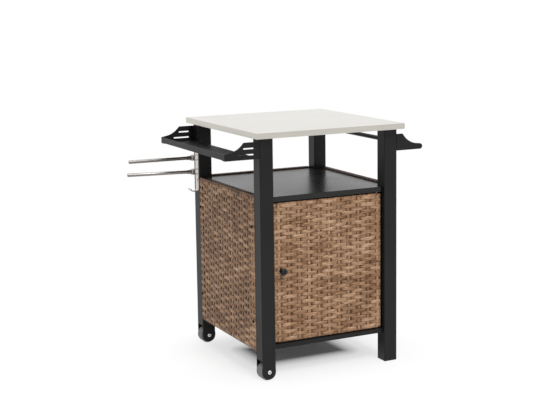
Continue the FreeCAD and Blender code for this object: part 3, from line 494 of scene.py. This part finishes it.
def wrap_section(half, depth, samples):
    """(Across, depth) path and outward directions: from the lip on the back at one side, round
    the edge, over the front at the samples, and back to the other lip."""
    radius = EDGE_ROUND - EDGE_DEPTH
    lip = np.linspace(-half + LIP, -half + EDGE_ROUND, 3)[:-1]
    start = np.stack([lip, np.full_like(lip, depth - EDGE_DEPTH)], 1)
    start_out = np.tile((0.0, 1.0), (len(lip), 1))
    inner, inner_out = arc((-half + EDGE_ROUND, depth - EDGE_ROUND), radius, 90, 180)
    outer, outer_out = arc((-half + EDGE_ROUND, EDGE_ROUND), radius, 180, 270)
    front = np.stack([samples, np.full_like(samples, EDGE_DEPTH)], 1)
    front_out = np.tile((0.0, -1.0), (len(samples), 1))
    left = np.concatenate([start, inner, outer])
    left_out = np.concatenate([start_out, inner_out, outer_out])
    mirror = np.array((-1.0, 1.0))
    points = np.concatenate([left, front, left[::-1] * mirror])
    outs = np.concatenate([left_out, front_out, left_out[::-1] * mirror])
    return points, outs


def stake_places(half, pitch, first):
    """Stake positions across a panel: from a first place, or even and centred."""
    if first is not None:
        return np.arange(-half + first, half - BORDER / 2, pitch)
    count = int(round(2 * (half - BORDER) / pitch))
    return (np.arange(count + 1) - count / 2) * 2 * (half - BORDER) / count


def flat_share(across, up, half, height):
    """1 over the frame tubes at a panel's edges, 0 between them."""
    from_edge = np.minimum(half - np.abs(across), np.minimum(up, height - up))
    return np.clip((BORDER + BORDER_BLEND - from_edge) / BORDER_BLEND, 0, 1)


def blend(between_tubes, over_tubes, flat):
    """Value where the weave lies flat by this share."""
    return between_tubes + (over_tubes - between_tubes) * flat


def row_samples(unders, pitch, reach):
    """Places along a row, close together where it dives behind a stake."""
    offsets = np.concatenate([-ROW_SAMPLES[:0:-1], ROW_SAMPLES, [pitch]])
    near_stakes = (unders[:, None] + offsets[None, :]).reshape(-1)
    places = np.sort(np.concatenate([near_stakes, [-reach, reach]]))
    places = places[np.abs(places) <= reach]
    return places[np.concatenate([[True], np.diff(places) > SAMPLE_GAP])]


def over_share(x, unders, pitch, gap_shade):
    """Where a row runs: 1 in front of the stakes, -1 behind one; and its painted shade from 0 to
    1.

    It dives steeply into a gap on the -X side of a stake, where painted shade makes it darkest,
    and comes up gently on the other."""
    nearest = unders[np.argmin(np.abs(x[:, None] - unders[None, :]), 1)]
    steep = x < nearest
    distance = np.abs(x - nearest)
    rise = np.clip((distance - UNDER_HALF) / np.where(steep, STEEP_RISE, GENTLE_RISE), 0, 1)
    rise = rise * rise * (3 - 2 * rise)
    arch = np.sin(np.clip(distance / pitch, 0, 1) * math.pi / 2) ** 2
    over = 2 * rise * (1 - FLOAT_SWELL + FLOAT_SWELL * arch) - 1
    shade = (1 - over) / 2 * np.where(steep, STEEP_SHADE, GENTLE_SHADE) * gap_shade
    return over, np.clip(shade, 0, 1)


def random_waves(size, lengths):
    """Random (length, phase, size) for each part of a slow wave."""
    return [(length * random_numbers.uniform(*WAVE_LENGTH_SHARES),
             random_numbers.uniform(0, 2 * math.pi), size) for length in lengths]


def sway(x, waves):
    """Height of the waves along a band."""
    return sum(size * np.sin(2 * math.pi * x / length + phase) for length, phase, size in waves)


def woven_panel(name, node, body, turn, pitch, first=None, top_drop=PANEL_TOP_DROP,
                gap_shade=PANEL_GAP_SHADE):
    """Woven stand-in for a panel's weave node; its outer face looks along -Y before the turn."""
    low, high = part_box(node)
    size = high - low
    centre = (low + high) / 2
    across, depth = (size.x, size.y) if abs(math.sin(turn)) < 0.5 else (size.y, size.x)
    half = across / 2
    height = size.z - top_drop
    stakes = stake_places(half, pitch, first)
    weave = Strands()
    row = add_rows(weave, half, height, depth, stakes, pitch, gap_shade)
    add_stakes(weave, half, height, stakes, row)
    add_edge_wraps(weave, half, height, depth)
    piece = weave.to_object(name, LOOKS["weave"])
    turning = Matrix.Rotation(turn, 4, "Z")
    outward = turning @ Vector((0, -depth / 2, 0))
    piece.matrix_world = Matrix.Translation(
        (centre.x + outward.x, centre.y + outward.y, low.z)) @ turning
    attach(piece, body)
    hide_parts(node)


def add_rows(weave, half, height, depth, stakes, pitch, gap_shade):
    """Horizontal bands, over and under the stakes and round both side edges.

    Returns the height of a row."""
    rows = int(round((height - 2 * EDGE_ROUND) / ROW_HEIGHT))
    row = (height - 2 * EDGE_ROUND) / rows
    reach = half - EDGE_ROUND - BEND_GAP
    shared = random_waves(*SHARED_ROW_WAVE)
    for i in range(rows):
        z = EDGE_ROUND + (i + 0.5) * row
        unders = stakes[i % 2::2]
        path, outs = wrap_section(half, depth, row_samples(unders, pitch, reach))
        x = path[:, 0].copy()
        front = outs[:, 1] < FRONT_FACING
        over, shade = over_share(x, unders, pitch, gap_shade)
        over = np.where(front, over, 1.0)
        shade = np.where(front, shade, 0.0)
        flat = flat_share(x, z, half, height)
        swing = blend(ROW_SWING * random_numbers.uniform(*ROW_SWING_SHARES), FLAT_ROW_SWING, flat)
        path[front, 1] = (blend(WEAVE_DEPTH, FLAT_DEPTH, flat) - swing * over)[front]
        near_edge = np.clip((np.abs(x) - half + CORNER_ZONE) / CORNER_ZONE, 0, 1)
        path[:, 0] -= np.sign(x) * corner_inset(min(z, height - z)) * near_edge
        lift = (sway(x, shared) * math.sin(math.pi * z / height)
                + sway(x, random_waves(*OWN_ROW_WAVE))) * (1 - near_edge)
        centres = np.column_stack([path, z + lift])
        normals = np.column_stack([outs, np.zeros(len(x))])
        float_tones = random_numbers.uniform(-FLOAT_TONE, FLOAT_TONE, len(unders) + 1)
        tones = float_tones[np.searchsorted(unders, x)]
        tones += random_numbers.uniform(-ROW_TONE, ROW_TONE)
        # The row's shade goes in as painted shade, darker where the row runs behind a stake.
        weave.band(centres, normals, (0, 0, 1), (row, ROW_THICKNESS, ROW_CROWN),
                   tones, shade, np.interp(over, WIDTH_PLACES, WIDTH_SHARES))
    return row


def add_stakes(weave, half, height, stakes, row):
    """Upright bands, pressed back by each row that passes in front of them."""
    z = np.arange(EDGE_ROUND - STAKE_OVERRUN, height - EDGE_ROUND + STAKE_OVERRUN, row / 2)
    normals = np.tile((0.0, -1.0, 0.0), (len(z), 1))
    for i, x in enumerate(stakes):
        pressed = np.cos(math.pi * ((z - EDGE_ROUND) / row - 0.5 + i))
        wobble = sway(z, random_waves(*STAKE_WAVE))
        flat = flat_share(x, z, half, height)
        swing = blend(STAKE_SWING, FLAT_STAKE_SWING, flat)
        y = blend(WEAVE_DEPTH, FLAT_DEPTH, flat) - swing * pressed
        # Every stake gets a little painted shade, as it lies behind the rows.
        weave.band(np.column_stack([x + wobble, y, z]), normals, (1, 0, 0),
                   (STAKE_WIDTH, STAKE_THICKNESS, STAKE_CROWN),
                   random_numbers.uniform(*STAKE_TONE), STAKE_SHADE)


def add_edge_wraps(weave, half, height, depth):
    """Short bands side by side over the top and bottom edges."""
    count = int(round((2 * half - 2 * WRAP_MARGIN) / ROW_HEIGHT))
    width = (2 * half - 2 * WRAP_MARGIN) / count
    path, outs = wrap_section(height / 2, depth, np.array([-height / 2 + WRAP_REACH]))
    keep = len(path) // 2 + 1
    path = path[:keep]
    outs = outs[:keep]
    y = path[:, 1] + np.where(outs[:, 1] < WRAP_FACING, WRAP_DEPTH, 0.0)
    for i in range(count):
        x = -half + WRAP_MARGIN + (i + 0.5) * width
        inset = corner_inset(half - abs(x) - WRAP_MARGIN)
        for side in (-1, 1):
            z = height / 2 + side * (-path[:, 0] - inset)
            centres = np.column_stack([np.full(keep, x), y, z])
            normals = np.column_stack([np.zeros(keep), outs[:, 1], -side * outs[:, 0]])
            if side < 0:
                centres = centres[::-1]
                normals = normals[::-1]
            # Painted shade darkens each wrap as it turns away from the front: full over the edge
            # and on the back.
            weave.band(centres, normals, (1, 0, 0), (width - WRAP_GAP, ROW_THICKNESS, WRAP_CROWN),
                       random_numbers.uniform(*WRAP_TONE), np.clip(1 + normals[:, 1], 0, 1))


woven_panel("door_woven_face", "door_weave", "door", 0.0, DOOR_STAKE_PITCH,
            first=DOOR_FIRST_STAKE, top_drop=0.0, gap_shade=1.0)
woven_panel("left_woven_face", "side_panel_left_weave", "cart", -math.pi / 2, PANEL_STAKE_PITCH)
woven_panel("right_woven_face", "side_panel_right_weave", "cart", math.pi / 2, PANEL_STAKE_PITCH)
woven_panel("back_woven_face", "back_panel_weave", "cart", math.pi, DOOR_STAKE_PITCH)


# Looks of the CAD nodes that their material slot doesn't give

SPECIAL_LOOKS = {
    "shelf_plate": "shelf_coat",
    "hanger_plate": "stainless_plate",
    "axle_bolt_front": "front_bolt",
    "axle_bolt_back": "back_bolt",
}
for arm_piece in ("arm_rod", "arm_cap", "arm_collar"):
    SPECIAL_LOOKS["upper_" + arm_piece] = "stainless_rod"
    SPECIAL_LOOKS["lower_" + arm_piece] = "stainless_rod"


def dress_nodes():
    """Each CAD node gets its finish, smooth curved faces and crisp edges."""
    slots = {entry["node"]: entry["material_slot"] for entry in frame["record"]["subparts"]}
    for name, node in frame["nodes"].items():
        node.data.materials.clear()
        node.data.materials.append(LOOKS[SPECIAL_LOOKS.get(name, slots[name])])
        node.data.shade_smooth()
        node.data.set_sharp_from_angle(angle=CAD_SHARP_ANGLE)


# Floor, light and camera

def seen_directly(tree):
    """1 for camera, mirror and glass rays, 0 for the light that the surfaces spread."""
    rays = tree.nodes.new("ShaderNodeLightPath").outputs
    seen = add_node(tree, "ShaderNodeMath",
                    {0: rays["Is Camera Ray"], 1: rays["Is Glossy Ray"]}, operation="MAXIMUM")
    seen = add_node(tree, "ShaderNodeMath",
                    {0: seen.outputs[0], 1: rays["Is Transmission Ray"]}, operation="MAXIMUM")
    return seen.outputs[0]


def distance_from_shadow(tree):
    """Distance on the floor from the box under the cart that keeps its shadow."""
    place = add_node(tree, "ShaderNodeTexCoord").outputs["Object"]
    from_centre = vector_math(tree, "SUBTRACT", place, (legs_centre_x(), 0, 0))
    outside = vector_math(tree, "ABSOLUTE", from_centre)
    outside = vector_math(tree, "SUBTRACT", outside, FLOOR_SHADOW_HALF)
    outside = vector_math(tree, "MAXIMUM", outside, (0, 0, 0))
    return vector_math(tree, "LENGTH", outside)


def studio_floor():
    """Pale floor that keeps the cart's shadow, with a painted glow fading it into the white round
    it.
    """
    mesh = bpy.data.meshes.new("studio_floor")
    mesh.from_pydata([(x * FLOOR_REACH, y * FLOOR_REACH, 0)
                      for x, y in ((-1, -1), (1, -1), (1, 1), (-1, 1))], [], [(0, 1, 2, 3)])
    floor = add_object("studio_floor", mesh)
    material, tree, shader = blank_material("studio_floor", {
        "Base Color": (0.97, 0.97, 0.97, 1), "Roughness": 0.9, "Specular IOR Level": 0.0})
    white_share = ramp(tree, distance_from_shadow(tree),
                       [(distance, (share, share, share)) for distance, share in FLOOR_WHITE])
    white = add_node(tree, "ShaderNodeMath", {0: white_share, 1: seen_directly(tree)},
                     operation="MULTIPLY")
    # Painted light: this glow, seen directly, lightens the floor's shadow by distance from the
    # box.
    glow = add_node(tree, "ShaderNodeEmission", Color=(1, 1, 1, 1), Strength=1.0)
    mix = add_node(tree, "ShaderNodeMixShader", {
        "Fac": white.outputs[0], 1: shader.outputs["BSDF"], 2: glow.outputs["Emission"]})
    tree.links.new(mix.outputs["Shader"], tree.nodes["Material Output"].inputs["Surface"])
    mesh.materials.append(material)


def studio_world():
    """White to the camera and in reflections, softer as a light on the cart."""
    world = bpy.data.worlds.new("studio_world")
    bpy.context.scene.world = world
    world.use_nodes = True
    tree = world.node_tree
    tree.nodes.clear()
    output = tree.nodes.new("ShaderNodeOutputWorld")
    strength = spread(tree, seen_directly(tree), WORLD_LIGHT, 1.0)
    background = add_node(tree, "ShaderNodeBackground", {"Strength": strength}, Color=(1, 1, 1, 1))
    tree.links.new(background.outputs["Background"], output.inputs["Surface"])


def sun(name, strength, azimuth, elevation, softness):
    """Soft distant light, angles in degrees; azimuth 0 is the door side, 90 the left."""
    lamp = bpy.data.lights.new(name, "SUN")
    lamp.energy = strength
    lamp.angle = math.radians(softness)
    turn = math.radians(azimuth)
    rise = math.radians(elevation)
    towards_light = Vector((-math.sin(turn) * math.cos(rise), -math.cos(turn) * math.cos(rise),
                            math.sin(rise)))
    add_object(name, lamp).rotation_euler = towards_light.to_track_quat("Z", "Y").to_euler()


def photo_camera():
    """Camera that sees the cart as the photograph does."""
    yaw, pitch, roll = CAMERA_YAW, CAMERA_PITCH, CAMERA_ROLL
    forward = Vector((math.sin(yaw) * math.cos(pitch), math.cos(yaw) * math.cos(pitch),
                      math.sin(pitch)))
    level_right = Vector((math.cos(yaw), -math.sin(yaw), 0))
    level_up = level_right.cross(forward)
    right = level_right * math.cos(roll) + level_up * math.sin(roll)
    up = level_up * math.cos(roll) - level_right * math.sin(roll)
    data = bpy.data.cameras.new("photo_camera")
    data.sensor_width = SENSOR_WIDTH
    data.lens = CAMERA_FOCAL_PIXELS / IMAGE_WIDTH * SENSOR_WIDTH
    data.shift_y = -CAMERA_RISE_PIXELS / IMAGE_WIDTH
    camera = add_object("photo_camera", data)
    place = Vector(CAMERA_PLACE) * MM + Vector((legs_centre_x(), 0, 0))
    turn = Matrix((right, up, -forward)).transposed().to_4x4()
    camera.matrix_world = Matrix.Translation(place) @ turn
    bpy.context.scene.camera = camera


dress_nodes()
studio_floor()
studio_world()
sun("key_light", strength=1.55, azimuth=0, elevation=56, softness=24)
sun("top_light", strength=0.35, azimuth=200, elevation=75, softness=60)
photo_camera()
bpy.context.scene.view_settings.view_transform = "Standard"
